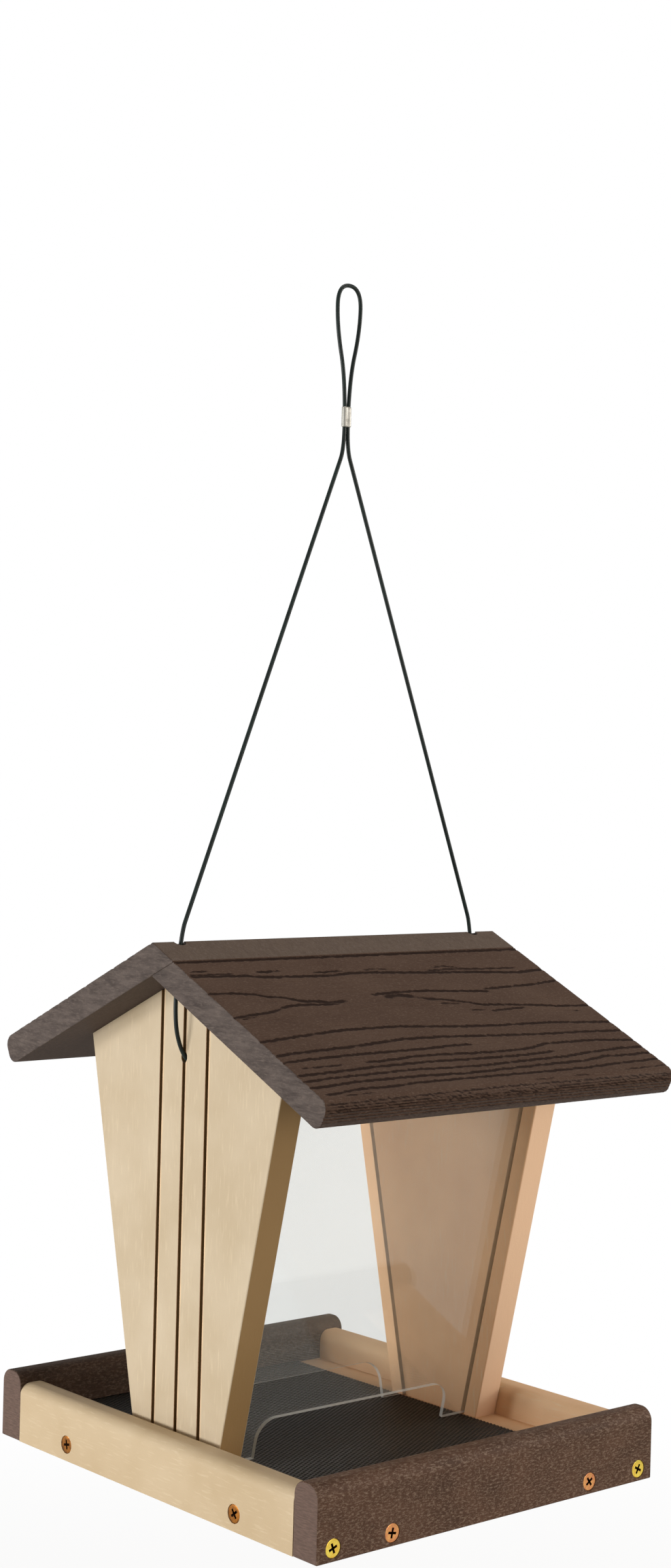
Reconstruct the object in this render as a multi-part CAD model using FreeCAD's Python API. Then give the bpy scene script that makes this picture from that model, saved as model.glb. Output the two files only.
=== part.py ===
import FreeCAD, Part
import math
import os

from FreeCAD import Vector

# Hopper bird feeder of recycled plastic boards, hung from a coated wire cable.
# Millimetres and degrees. X runs along the ridge, -Y is the front, +Z is up.
# Heights are taken from the underside of the tray while the pieces are made.
# The finished pieces are then lowered, so that the origin is inside the top of the hanging loop.

# Tray rails
tray_length = 210.8
tray_depth = 243.0
rail_thickness = 15.9
long_rail_height = 33.6
side_rail_height = 28.4
long_rail_rounding = 6.5
side_rail_rounding = 5.5
edge_ease = 0.7

# Floor boards and screen
floor_board_width = 40.0
floor_board_thickness = 13.2
screen_thickness = 0.6
screen_kerf_depth = 3.0
screen_strand = 1.6
screen_columns = 7
screen_rows = 19
screen_clearance = 0.3

# End panels
panel_thickness = 14.0
panel_foot_width = 62.0
panel_lean = 12.8
panel_eave_height = 191.0
panel_groove_width = 2.0
panel_groove_depth = 3.0
panel_groove_pitch = 17.5

# Panes and the seed gates cut in their lower edges
pane_thickness = 2.0
pane_inset = 9.3
pane_slot_depth = 4.0
pane_slot_clearance = 0.3
pane_end_clearance = 0.5
pane_floor_gap = 0.3
pane_headroom = 7.0
pane_foot_width = 15.2
seed_gate_height = 19.0
seed_gate_rounding = 10.0

# Roof
roof_pitch = 25.0
roof_thickness = 14.0
roof_board_width = 133.3
roof_end_overhang = 20.2
roof_seat_gap = 0.3
eave_rounding = 5.2

# Screws
screw_head_diameter = 8.4
screw_head_height = 3.0
screw_head_rim = 0.4
screw_diameter = 4.2
screw_length = 38.0
screw_tip_length = 5.0
screw_clearance = 0.1
screw_sink = 0.2
recess_span = 4.6
recess_width = 1.0
recess_depth = 1.7
long_screw_drop = 0.7
long_screw_end_inset = 9.2
side_screw_rise = 1.2
board_screw_inset = 12.8
side_screw_spread = 65.0
panel_screw_spread = 18.0
ridge_screw_spread = 62.0
ridge_screw_depth = 4.4

# Cable, its stops and its ferrule
cable_diameter = 2.0
cable_hole_diameter = 4.4
cable_hole_below_peak = 38.1
cable_hole_tilt = 40.0
roof_hole_diameter = 6.4
roof_hole_offset = 4.7
stop_diameter = 7.2
stop_length = 8.0
stop_clearance = 0.2
stop_seat_depth = 0.6
cable_tail = 1.0
strand_spread = 1.1
crimp_clearance = 0.05
ferrule_wall = 0.4
ferrule_length = 10.0
ferrule_rise = 249.1
mouth_run = 2.5
bow_out = 6.7
bow_rise = 19.2
bend_in = 1.0
bend_rise = 3.3
join_drop = 10.8
loop_neck_rise = 22.2
loop_side_rise = 48.2
loop_top_rise = 69.2
loop_half_width = 7.4

# General
arc_share = 0.45
rounding_share = 0.45
overcut = 5.0
tiny = 1e-6

# Places worked out from the sizes
half_length = tray_length / 2
half_depth = tray_depth / 2
rail_inner_x = half_length - rail_thickness
rail_inner_y = half_depth - rail_thickness
panel_inner_x = rail_inner_x - panel_thickness
panel_middle_x = rail_inner_x - panel_thickness / 2
board_inner_x = rail_inner_x - floor_board_width
lean = math.radians(panel_lean)
pitch = math.radians(roof_pitch)
panel_corner_y = panel_foot_width / 2 + panel_eave_height * math.tan(lean)
panel_corner_z = floor_board_thickness + panel_eave_height
panel_peak_z = panel_corner_z + panel_corner_y * math.tan(pitch)
underside_z = panel_peak_z + roof_seat_gap / math.cos(pitch)
ridge_z = underside_z + roof_thickness / math.cos(pitch)
roof_half_length = rail_inner_x + roof_end_overhang
roof_hole_x = rail_inner_x + roof_hole_offset
cable_hole_z = panel_peak_z - cable_hole_below_peak
hole_tilt = math.radians(cable_hole_tilt)
seat_radius = stop_diameter / 2 + stop_clearance
seat_lip = seat_radius * math.sin(hole_tilt)
stop_seat = (panel_thickness - stop_seat_depth - seat_lip) / math.cos(hole_tilt)
seat_end = (panel_thickness + 2 * seat_lip) / math.cos(hole_tilt)
cable_radius = cable_diameter / 2
screen_top = floor_board_thickness + screen_thickness
ferrule_z = ridge_z + ferrule_rise


def on_hole_axis(distance):
    """Point (x, z) on the axis of the left panel's cable hole, outwards from the hole's mouth."""
    return -rail_inner_x - distance * math.cos(hole_tilt), cable_hole_z + distance * math.sin(hole_tilt)


# The cable's route on the left, as (x, z) points chosen by hand around the holes that it goes through.
bow_point = (-rail_inner_x - bow_out, cable_hole_z + bow_rise)
bend_point = (-roof_hole_x + bend_in, ridge_z + bend_rise)
split_point = ((bow_point[0] + bend_point[0]) / 2, (bow_point[1] + bend_point[1]) / 2)
drop_route = [
    on_hole_axis(-stop_seat - stop_length - cable_tail),
    on_hole_axis(mouth_run),
    bow_point,
    split_point,
]
leg_route = [
    split_point,
    bend_point,
    (-strand_spread, ferrule_z - join_drop),
    (-strand_spread, ferrule_z),
]
loop_side = [
    (-strand_spread, ferrule_z),
    (-strand_spread, ferrule_z + loop_neck_rise),
    (-loop_half_width, ferrule_z + loop_side_rise),
    (-loop_half_width, ferrule_z + loop_top_rise),
]
loop_route = loop_side + [(-x, z) for x, z in reversed(loop_side)]
hang_z = loop_side[-1][1] - cable_radius


def corner_arc(before, corner, after, radius):
    """Entry, middle and exit of the arc that rounds one corner."""
    back = (before - corner).normalize()
    ahead = (after - corner).normalize()
    half_angle = back.getAngle(ahead) / 2
    reach = radius / math.tan(half_angle)
    inward = (back + ahead).normalize() * (radius / math.sin(half_angle) - radius)
    return corner + back * reach, corner + inward, corner + ahead * reach


def joined_edges(stations):
    """Line and arc edges through (entry, middle, exit) stations, in order."""
    edges = []
    for index, (entry, middle, leave) in enumerate(stations):
        if middle is not None:
            edges.append(Part.Arc(entry, middle, leave).toShape())
        if index + 1 < len(stations):
            following = stations[index + 1][0]
            if leave.distanceToPoint(following) > tiny:
                edges.append(Part.LineSegment(leave, following).toShape())
    return edges


def rounded_face(corners):
    """Flat face whose outline goes through (point, rounding) corners."""
    stations = []
    for index, (point, rounding) in enumerate(corners):
        if rounding > 0:
            before = corners[index - 1][0]
            after = corners[(index + 1) % len(corners)][0]
            stations.append(corner_arc(before, point, after, rounding))
        else:
            stations.append((point, None, point))
    first = stations[0][0]
    stations.append((first, None, first))
    return Part.Face(Part.Wire(joined_edges(stations)))


def box_between(low, high):
    """Box from its low corner to its high corner."""
    size = high - low
    return Part.makeBox(size.x, size.y, size.z, low)


def mirrored_x(shape):
    """The same piece at the other end of the feeder."""
    return shape.mirror(Vector(0, 0, 0), Vector(1, 0, 0))


def mirrored_y(shape):
    """The same piece on the other side of the feeder."""
    return shape.mirror(Vector(0, 0, 0), Vector(0, 1, 0))


def eased_ends(shape, end_x):
    """Softens the sawn ends of a board that runs along X."""
    rims = []
    for edge in shape.Edges:
        if all(abs(abs(vertex.X) - end_x) < tiny for vertex in edge.Vertexes):
            rims.append(edge)
    return shape.makeFillet(edge_ease, rims)


def rail_profile(thickness, height, rounding, place):
    """Section of a rail with its two upper edges rounded, placed by a function of (across, up)."""
    radius = min(rounding, rounding_share * thickness)
    corners = [
        (place(-thickness / 2, 0), 0),
        (place(thickness / 2, 0), 0),
        (place(thickness / 2, height), radius),
        (place(-thickness / 2, height), radius),
    ]
    return rounded_face(corners)


def screw_outline(grow, above):
    """Half section of a screw, or of the hole it needs, with the top of its head at zero."""
    head = screw_head_diameter / 2 + grow
    shank = screw_diameter / 2 + grow
    return [
        Vector(0, 0, above),
        Vector(head, 0, above),
        Vector(head, 0, -screw_head_rim),
        Vector(shank, 0, -screw_head_height),
        Vector(shank, 0, -screw_length + screw_tip_length),
        Vector(0, 0, -screw_length - grow),
    ]


def turned(outline):
    """Solid turned about Z from a half section."""
    wire = Part.makePolygon(outline + [outline[0]])
    return Part.Face(wire).revolve(Vector(0, 0, 0), Vector(0, 0, 1), 360)


def aimed(shape, origin, direction):
    """Moves a piece that points down to an origin and turns it to a direction."""
    shape.Placement = FreeCAD.Placement(origin, FreeCAD.Rotation(Vector(0, 0, -1), direction))
    return shape


def screw_at(origin, direction):
    """Flat head screw with a cross recess."""
    body = turned(screw_outline(0, 0))
    half_span = recess_span / 2
    half_width = recess_width / 2
    long_slot = box_between(Vector(-half_span, -half_width, -recess_depth), Vector(half_span, half_width, overcut))
    cross_slot = box_between(Vector(-half_width, -half_span, -recess_depth), Vector(half_width, half_span, overcut))
    return aimed(body.cut(long_slot.fuse(cross_slot)), origin, direction)


def screw_hole_at(origin, direction):
    """Countersunk hole for a screw, open above its head."""
    return aimed(turned(screw_outline(screw_clearance, 2 * overcut)), origin, direction)


def long_rail_screw_places():
    """Heads on the front rail: the outer pair enters the side rails, the inner pair the floor boards."""
    height = floor_board_thickness / 2 - long_screw_drop
    outer = half_length - long_screw_end_inset
    inner = board_inner_x + board_screw_inset
    return [Vector(x, -half_depth + screw_sink, height) for x in (-outer, -inner, inner, outer)]


def side_rail_screw_places():
    """Heads on the left rail, on both sides of the end panel."""
    height = floor_board_thickness / 2 + side_screw_rise
    return [Vector(-half_length + screw_sink, y, height) for y in (-side_screw_spread, side_screw_spread)]


def panel_screw_places():
    """Heads under the left floor board, in line with the middle of the end panel."""
    return [Vector(-panel_middle_x, y, screw_sink) for y in (-panel_screw_spread, panel_screw_spread)]


def ridge_screw_places():
    """Heads sunk in the back slab, on the middle plane of the front slab."""
    along = front_slope()
    middle = Vector(0, 0, underside_z) + front_normal() * (roof_thickness / 2)
    to_surface = roof_thickness * (1 - math.cos(2 * pitch) / 2) / math.sin(2 * pitch)
    head = middle - along * (to_surface - ridge_screw_depth)
    return [head + Vector(x, 0, 0) for x in (-ridge_screw_spread, 0, ridge_screw_spread)]


def screws(places, direction):
    """One group of like screws."""
    return Part.makeCompound([screw_at(place, direction) for place in places])


def drilled(shape, places, direction):
    """A board with the holes of one group of screws."""
    return shape.cut([screw_hole_at(place, direction) for place in places])


def front_rail():
    """Rail along the front, with a kerf that holds the edge of the screen."""
    middle_y = -half_depth + rail_thickness / 2
    face = rail_profile(
        rail_thickness,
        long_rail_height,
        long_rail_rounding,
        lambda across, up: Vector(-half_length, middle_y + across, up),
    )
    rail = eased_ends(face.extrude(Vector(tray_length, 0, 0)), half_length)
    kerf = box_between(
        Vector(-panel_inner_x, -rail_inner_y - screen_kerf_depth, floor_board_thickness),
        Vector(panel_inner_x, -rail_inner_y + overcut, screen_top + screen_clearance),
    )
    return drilled(rail.cut(kerf), long_rail_screw_places(), Vector(0, 1, 0))


def left_rail():
    """Rail along the left side, between the two long rails."""
    middle_x = -half_length + rail_thickness / 2
    face = rail_profile(
        rail_thickness,
        side_rail_height,
        side_rail_rounding,
        lambda across, up: Vector(middle_x + across, -rail_inner_y, up),
    )
    rail = face.extrude(Vector(0, 2 * rail_inner_y, 0))
    rail = drilled(rail, side_rail_screw_places(), Vector(1, 0, 0))
    return drilled_from_both_ends(rail)


def drilled_from_both_ends(shape):
    """A piece with the holes of the front and back rails' screws."""
    places = long_rail_screw_places()
    front = drilled(shape, places, Vector(0, 1, 0))
    return mirrored_y(drilled(mirrored_y(front), places, Vector(0, 1, 0)))


def left_floor_board():
    """Floor board along the left rail, under the end panel and the edge of the screen."""
    board = box_between(
        Vector(-rail_inner_x, -rail_inner_y, 0),
        Vector(-board_inner_x, rail_inner_y, floor_board_thickness),
    )
    board = drilled_from_both_ends(board)
    board = drilled(board, side_rail_screw_places(), Vector(1, 0, 0))
    return drilled(board, panel_screw_places(), Vector(0, 0, 1))


def floor_screen():
    """Expanded mesh between the end panels, with its front and back edges in the rails' kerfs."""
    half_x = panel_inner_x - screen_clearance
    half_y = rail_inner_y + screen_kerf_depth - screen_clearance
    wires = [level_outline([(-half_x, -half_y), (half_x, -half_y), (half_x, half_y), (-half_x, half_y)])]
    open_x = half_x - screen_strand
    open_y = rail_inner_y - screen_strand
    reach_x = open_x / screen_columns
    reach_y = open_y / screen_rows
    shrink = 1 - screen_strand / 2 * math.hypot(reach_x, reach_y) / (reach_x * reach_y)
    for column in range(1, 2 * screen_columns):
        for row in range(1, 2 * screen_rows):
            if (column + row) % 2 == 0:
                x = column * reach_x - open_x
                y = row * reach_y - open_y
                wires.append(diamond(x, y, shrink * reach_x, shrink * reach_y))
    return Part.Face(wires).extrude(Vector(0, 0, screen_thickness))


def diamond(x, y, reach_x, reach_y):
    """One gap of the screen."""
    return level_outline([(x - reach_x, y), (x, y - reach_y), (x + reach_x, y), (x, y + reach_y)])


def level_outline(corners):
    """Closed outline on top of the floor boards."""
    points = [Vector(x, y, floor_board_thickness) for x, y in corners]
    return Part.makePolygon(points + points[:1])


def left_end_panel():
    """Gabled end panel that widens upwards, grooved outside and slotted inside for the panes."""
    outline = [
        (-panel_foot_width / 2, floor_board_thickness),
        (panel_foot_width / 2, floor_board_thickness),
        (panel_corner_y, panel_corner_z),
        (0, panel_peak_z),
        (-panel_corner_y, panel_corner_z),
    ]
    face = rounded_face([(Vector(-rail_inner_x, y, z), 0) for y, z in outline])
    board = face.extrude(Vector(panel_thickness, 0, 0))
    sides = []
    for edge in board.Edges:
        ends = edge.Vertexes
        if abs(ends[0].Z - ends[1].Z) > panel_eave_height - tiny and abs(ends[0].X - ends[1].X) < tiny:
            sides.append(edge)
    board = board.makeFillet(edge_ease, sides)
    cuts = [pane_slot(), mirrored_y(pane_slot())]
    for y in (-panel_groove_pitch, 0, panel_groove_pitch):
        cuts.append(
            box_between(
                Vector(-rail_inner_x - overcut, y - panel_groove_width / 2, 0),
                Vector(-rail_inner_x + panel_groove_depth, y + panel_groove_width / 2, ridge_z),
            )
        )
    board = board.cut(cuts)
    board = board.cut(axis_cylinder(cable_hole_diameter / 2, -overcut, seat_end))
    board = board.cut(axis_cylinder(seat_radius, stop_seat, seat_end))
    return drilled(board, panel_screw_places(), Vector(0, 0, 1))


def axis_cylinder(radius, start, end):
    """Cylinder on the axis of the left panel's cable hole, between two depths from its mouth."""
    x, z = on_hole_axis(-start)
    inwards = Vector(math.cos(hole_tilt), 0, -math.sin(hole_tilt))
    return Part.makeCylinder(radius, end - start, Vector(x, 0, z), inwards)


def pane_place(x, along, out):
    """Point of the front pane: along its slope from its lower edge, and out from its middle plane."""
    start_z = screen_top + pane_floor_gap + pane_thickness / 2 * math.sin(lean)
    edge_y = panel_foot_width / 2 + (start_z - floor_board_thickness) * math.tan(lean)
    start_y = edge_y - pane_inset / math.cos(lean)
    y = start_y + along * math.sin(lean) + out * math.cos(lean)
    z = start_z + along * math.cos(lean) - out * math.sin(lean)
    return Vector(x, -y, z)


def pane_room():
    """Length of the pane's slope from its lower edge to the underside of the closed roof."""
    outer = pane_place(0, 0, pane_thickness / 2)
    rise = underside_z - outer.z + outer.y * math.tan(pitch)
    return rise / (math.cos(lean) + math.sin(lean) * math.tan(pitch))


def pane_layer(outline, thickness):
    """Sheet of a thickness about the front pane's middle plane, from (x, along, rounding) corners."""
    corners = [(pane_place(x, along, -thickness / 2), rounding) for x, along, rounding in outline]
    step = pane_place(0, 0, thickness) - pane_place(0, 0, 0)
    return rounded_face(corners).extrude(step)


def pane_slot():
    """Slot for the front pane in the left end panel, open at its top."""
    low = -2 * overcut
    high = pane_room() + 2 * overcut
    deep = -panel_inner_x - pane_slot_depth
    clear = -panel_inner_x + overcut
    outline = [(deep, low, 0), (clear, low, 0), (clear, high, 0), (deep, high, 0)]
    return pane_layer(outline, pane_thickness + 2 * pane_slot_clearance)


def front_pane():
    """Clear pane that stands on two feet beside a wide seed gate."""
    end = panel_inner_x + pane_slot_depth - pane_end_clearance
    gate = panel_inner_x - pane_foot_width
    top = pane_room() - pane_headroom
    rounding = min(seed_gate_rounding, 2 * rounding_share * seed_gate_height)
    outline = [
        (-end, 0, 0),
        (-gate, 0, 0),
        (-gate, seed_gate_height, rounding),
        (gate, seed_gate_height, rounding),
        (gate, 0, 0),
        (end, 0, 0),
        (end, top, 0),
        (-end, top, 0),
    ]
    return pane_layer(outline, pane_thickness)


def front_slope():
    """Way down the front slope of the roof."""
    return Vector(0, -math.cos(pitch), -math.sin(pitch))


def front_normal():
    """Way out of the front slope of the roof."""
    return Vector(0, -math.sin(pitch), math.cos(pitch))


def roof_slab(corners):
    """Roof board along X from the corners of its left end, with holes for the cable."""
    face = rounded_face([(Vector(-roof_half_length, 0, 0) + corner, rounding) for corner, rounding in corners])
    board = eased_ends(face.extrude(Vector(2 * roof_half_length, 0, 0)), roof_half_length)
    holes = []
    for x in (-roof_hole_x, roof_hole_x):
        base = Vector(x, 0, panel_corner_z)
        holes.append(Part.makeCylinder(roof_hole_diameter / 2, ridge_z - panel_corner_z + overcut, base))
    return drilled(board.cut(holes), ridge_screw_places(), front_slope())


def seam_corner():
    """Front end of the back slab's bevel, where the front slab begins."""
    return Vector(0, 0, ridge_z) + front_slope() * (roof_thickness / math.sin(2 * pitch))


def front_roof_slab():
    """Slab with its wide face down, whose bevelled top edge fits under the back slab."""
    rounding = min(eave_rounding, rounding_share * roof_thickness)
    inside = Vector(0, 0, underside_z)
    eave = inside + front_slope() * roof_board_width
    corners = [
        (inside, 0),
        (eave, rounding),
        (eave + front_normal() * roof_thickness, rounding),
        (seam_corner(), 0),
    ]
    return roof_slab(corners)


def back_roof_slab():
    """The same board with its wide face up, whose bevel runs on in the plane of the front slab."""
    rounding = min(eave_rounding, rounding_share * roof_thickness)
    slope = Vector(0, -front_slope().y, front_slope().z)
    normal = Vector(0, -front_normal().y, front_normal().z)
    ridge = Vector(0, 0, ridge_z)
    eave = ridge + slope * roof_board_width
    corners = [
        (ridge, 0),
        (seam_corner(), 0),
        (eave - normal * roof_thickness, rounding),
        (eave, rounding),
    ]
    return roof_slab(corners)


def cable_tube(name, route):
    """Tube along straight runs and tangent arcs, each as large as its runs allow."""
    points = [Vector(x, 0, z) for x, z in route]
    stations = [(points[0], None, points[0])]
    radii = []
    for before, corner, after in zip(points, points[1:], points[2:]):
        half_angle = (before - corner).getAngle(after - corner) / 2
        shorter = min(corner.distanceToPoint(before), corner.distanceToPoint(after))
        radius = arc_share * shorter * math.tan(half_angle)
        radii.append(round(radius, 1))
        stations.append(corner_arc(before, corner, after, radius))
    stations.append((points[-1], None, points[-1]))
    path = Part.Wire(joined_edges(stations))
    section = Part.Wire(Part.makeCircle(cable_radius, points[0], points[1] - points[0]))
    tube = path.makePipeShell([section], True, False)
    expected = math.pi * cable_radius ** 2 * path.Length
    print(name, "length", round(path.Length, 2), "radii", radii, "volume ratio", round(tube.Volume / expected, 5))
    return tube


def left_cable_stop():
    """Sleeve crimped on the cable's end, in its seat inside the left end panel."""
    sleeve = axis_cylinder(stop_diameter / 2, stop_seat, stop_seat + stop_length)
    return sleeve.cut(axis_cylinder(cable_radius + crimp_clearance, stop_seat, stop_seat + stop_length))


def ferrule_section(radius):
    """Face of a slot shape round both strands."""
    left = Vector(-strand_spread, 0, ferrule_z)
    right = Vector(strand_spread, 0, ferrule_z)
    side = Vector(0, radius, 0)
    reach = Vector(radius, 0, 0)
    edges = [
        Part.LineSegment(left - side, right - side).toShape(),
        Part.Arc(right - side, right + reach, right + side).toShape(),
        Part.LineSegment(right + side, left + side).toShape(),
        Part.Arc(left + side, left - reach, left - side).toShape(),
    ]
    return Part.Face(Part.Wire(edges))


def cable_ferrule():
    """Oval sleeve pressed over both strands under the loop."""
    height = Vector(0, 0, ferrule_length)
    inside = cable_radius + crimp_clearance
    return ferrule_section(inside + ferrule_wall).extrude(height).cut(ferrule_section(inside).extrude(height))


def build_nodes():
    """Every piece by its node's name."""
    rail = front_rail()
    side = left_rail()
    board = left_floor_board()
    panel = left_end_panel()
    pane = front_pane()
    stop = left_cable_stop()
    long_screws = screws(long_rail_screw_places(), Vector(0, 1, 0))
    side_screws = screws(side_rail_screw_places(), Vector(1, 0, 0))
    panel_screws = screws(panel_screw_places(), Vector(0, 0, 1))
    drop = cable_tube("drop", drop_route)
    leg = cable_tube("leg", leg_route)
    return {
        "front_rail": rail,
        "back_rail": mirrored_y(rail),
        "left_rail": side,
        "right_rail": mirrored_x(side),
        "left_floor_board": board,
        "right_floor_board": mirrored_x(board),
        "floor_screen": floor_screen(),
        "left_end_panel": panel,
        "right_end_panel": mirrored_x(panel),
        "front_pane": pane,
        "back_pane": mirrored_y(pane),
        "front_roof_slab": front_roof_slab(),
        "back_roof_slab": back_roof_slab(),
        "front_rail_screws": long_screws,
        "back_rail_screws": mirrored_y(long_screws),
        "left_rail_screws": side_screws,
        "right_rail_screws": mirrored_x(side_screws),
        "left_panel_screws": panel_screws,
        "right_panel_screws": mirrored_x(panel_screws),
        "ridge_screws": screws(ridge_screw_places(), front_slope()),
        "left_cable_stop": stop,
        "right_cable_stop": mirrored_x(stop),
        "cable_left_drop": drop,
        "cable_right_drop": mirrored_x(drop),
        "cable_left_leg": leg,
        "cable_right_leg": mirrored_x(leg),
        "cable_loop": cable_tube("loop", loop_route),
        "cable_ferrule": cable_ferrule(),
    }


os.makedirs("parts", exist_ok=True)
for node, shape in build_nodes().items():
    shape.translate(Vector(0, 0, -hang_z))
    shape.exportStep("parts/" + node + ".step")
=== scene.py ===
from collections import namedtuple
from math import acos, copysign, cos, exp, hypot, pi, radians, sin, sqrt, tan

import bmesh
import bpy
import numpy as np
from mathutils import Matrix, Vector


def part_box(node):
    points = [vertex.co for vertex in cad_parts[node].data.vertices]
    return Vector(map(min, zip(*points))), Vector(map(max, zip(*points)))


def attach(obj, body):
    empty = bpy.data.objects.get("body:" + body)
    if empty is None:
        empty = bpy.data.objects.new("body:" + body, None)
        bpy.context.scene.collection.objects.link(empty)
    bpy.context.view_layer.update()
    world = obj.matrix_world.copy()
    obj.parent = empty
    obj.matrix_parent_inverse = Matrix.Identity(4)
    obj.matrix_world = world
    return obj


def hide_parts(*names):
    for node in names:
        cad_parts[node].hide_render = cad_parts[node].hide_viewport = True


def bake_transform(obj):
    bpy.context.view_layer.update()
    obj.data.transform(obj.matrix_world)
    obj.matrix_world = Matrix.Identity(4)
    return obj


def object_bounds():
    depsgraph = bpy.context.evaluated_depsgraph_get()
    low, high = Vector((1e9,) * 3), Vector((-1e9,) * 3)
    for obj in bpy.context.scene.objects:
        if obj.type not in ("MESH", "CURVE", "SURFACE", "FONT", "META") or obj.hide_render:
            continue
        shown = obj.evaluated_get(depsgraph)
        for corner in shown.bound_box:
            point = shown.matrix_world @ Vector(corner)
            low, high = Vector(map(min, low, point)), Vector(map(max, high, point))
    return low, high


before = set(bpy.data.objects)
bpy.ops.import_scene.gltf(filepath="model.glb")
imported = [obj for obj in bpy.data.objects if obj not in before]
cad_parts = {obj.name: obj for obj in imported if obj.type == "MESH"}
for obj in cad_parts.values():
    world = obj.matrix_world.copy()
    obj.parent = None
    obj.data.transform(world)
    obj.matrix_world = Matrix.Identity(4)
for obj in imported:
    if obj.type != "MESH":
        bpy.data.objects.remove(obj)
scene = bpy.context.scene
cad_low, cad_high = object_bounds()

# Metres and degrees, in the part's frame: X along the ridge, -Y to the front, +Z up,
# and the origin inside the top of the hanging loop.

# Camera
image_height = 2306
focal_pixels = 3421.71
sensor_size = 36.0
camera_azimuth = -40.83
camera_elevation = 0.2
camera_roll = 1.47
camera_place = (-0.74535, -0.86148, -0.23886)

# Stage and light
floor_drop = 0.42
floor_reach = 12.0
floor_near = 0.5
floor_far = 1.6
floor_near_white = 0.85
floor_colour = (0.64, 0.62, 0.58, 1.0)
floor_roughness = 0.9
white = (1.0, 1.0, 1.0, 1.0)
reflection_white = 0.28
ambient = 0.28
ambient_tint = (1.0, 0.93, 0.86, 1.0)
Lamp = namedtuple("Lamp", "place size power tint")
lamps = {
    "left_soft": Lamp((-2.27, 0.28, -0.36), 0.5, 21.0, (0.98, 0.99, 1.0)),
    "back_left": Lamp((-1.8, 1.4, -0.35), 0.6, 21.0, (1.0, 0.98, 0.95)),
    "right_key": Lamp((1.85, -0.85, 0.2), 0.8, 17.0, (1.0, 0.93, 0.86)),
    "front_soft": Lamp((0.4, -2.05, -0.15), 0.8, 11.0, (1.0, 0.93, 0.86)),
    "top_soft": Lamp((0.2, -0.3, 2.0), 1.4, 20.0, (1.0, 0.95, 0.9)),
}
lamp_target = (0.0, 0.0, -0.45)

# Roof boards
roof_pitch = radians(25.0)
front_slope = np.array((-cos(roof_pitch), -sin(roof_pitch)))
roof_thickness = 0.014
roof_board_width = 0.1333
eave_rounding = 0.0052
arris = 0.0005
end_ease = 0.0004
ease_steps = 3
arc_steps = 14
fine_step = 0.0003
coarse_step = 0.006
run_steps = (fine_step, fine_step, coarse_step, coarse_step)
station_step = 0.0015
smooth_angle = radians(55.0)
flat_end_facing = 0.999
end_facing = 0.7
strip_facing = 0.98
cable_hole_x = 0.0942
cable_hole_radius = 0.0032
counterbore_radius = 0.0043
cutter_sides = 40
cutter_reach = 0.03

# Embossed grain: each line has points in thousandths (along X, from the seam to the eave),
# a depth and a width
grain_depth = 0.0005
grain_width = 0.0009
grain_samples = 801
grain_easing = 17
grain_fade = 0.02
grain_waves = 6
wave_spread = (0.8, 1.2)
grain_jag = 0.00026
jag_turns = 19
patch_turns = 7
patch_seed = 500
patch_middle = 0.92
patch_swing = 0.25
patch_range = (0.45, 1.0)
eave_turn_share = 1 / 3
grain_reach_share = 0.9
front_seeds = {"lines": 0, "pores": 3}
back_seeds = {"lines": 1000, "pores": 4}
pore_count = 130
pore_starts = (-0.05, 0.95)
pore_heights = (0.03, 0.98)
pore_lengths = (0.04, 0.16)
pore_drift = 0.004
pore_mark = (0.28, 0.6)
streak_step = 0.0016
streak_start = 0.985
streak_bend = [(0, 0.0), (0.5, -0.006), (1, 0.002)]
streak_mark = (0.75, 0.5)
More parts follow.
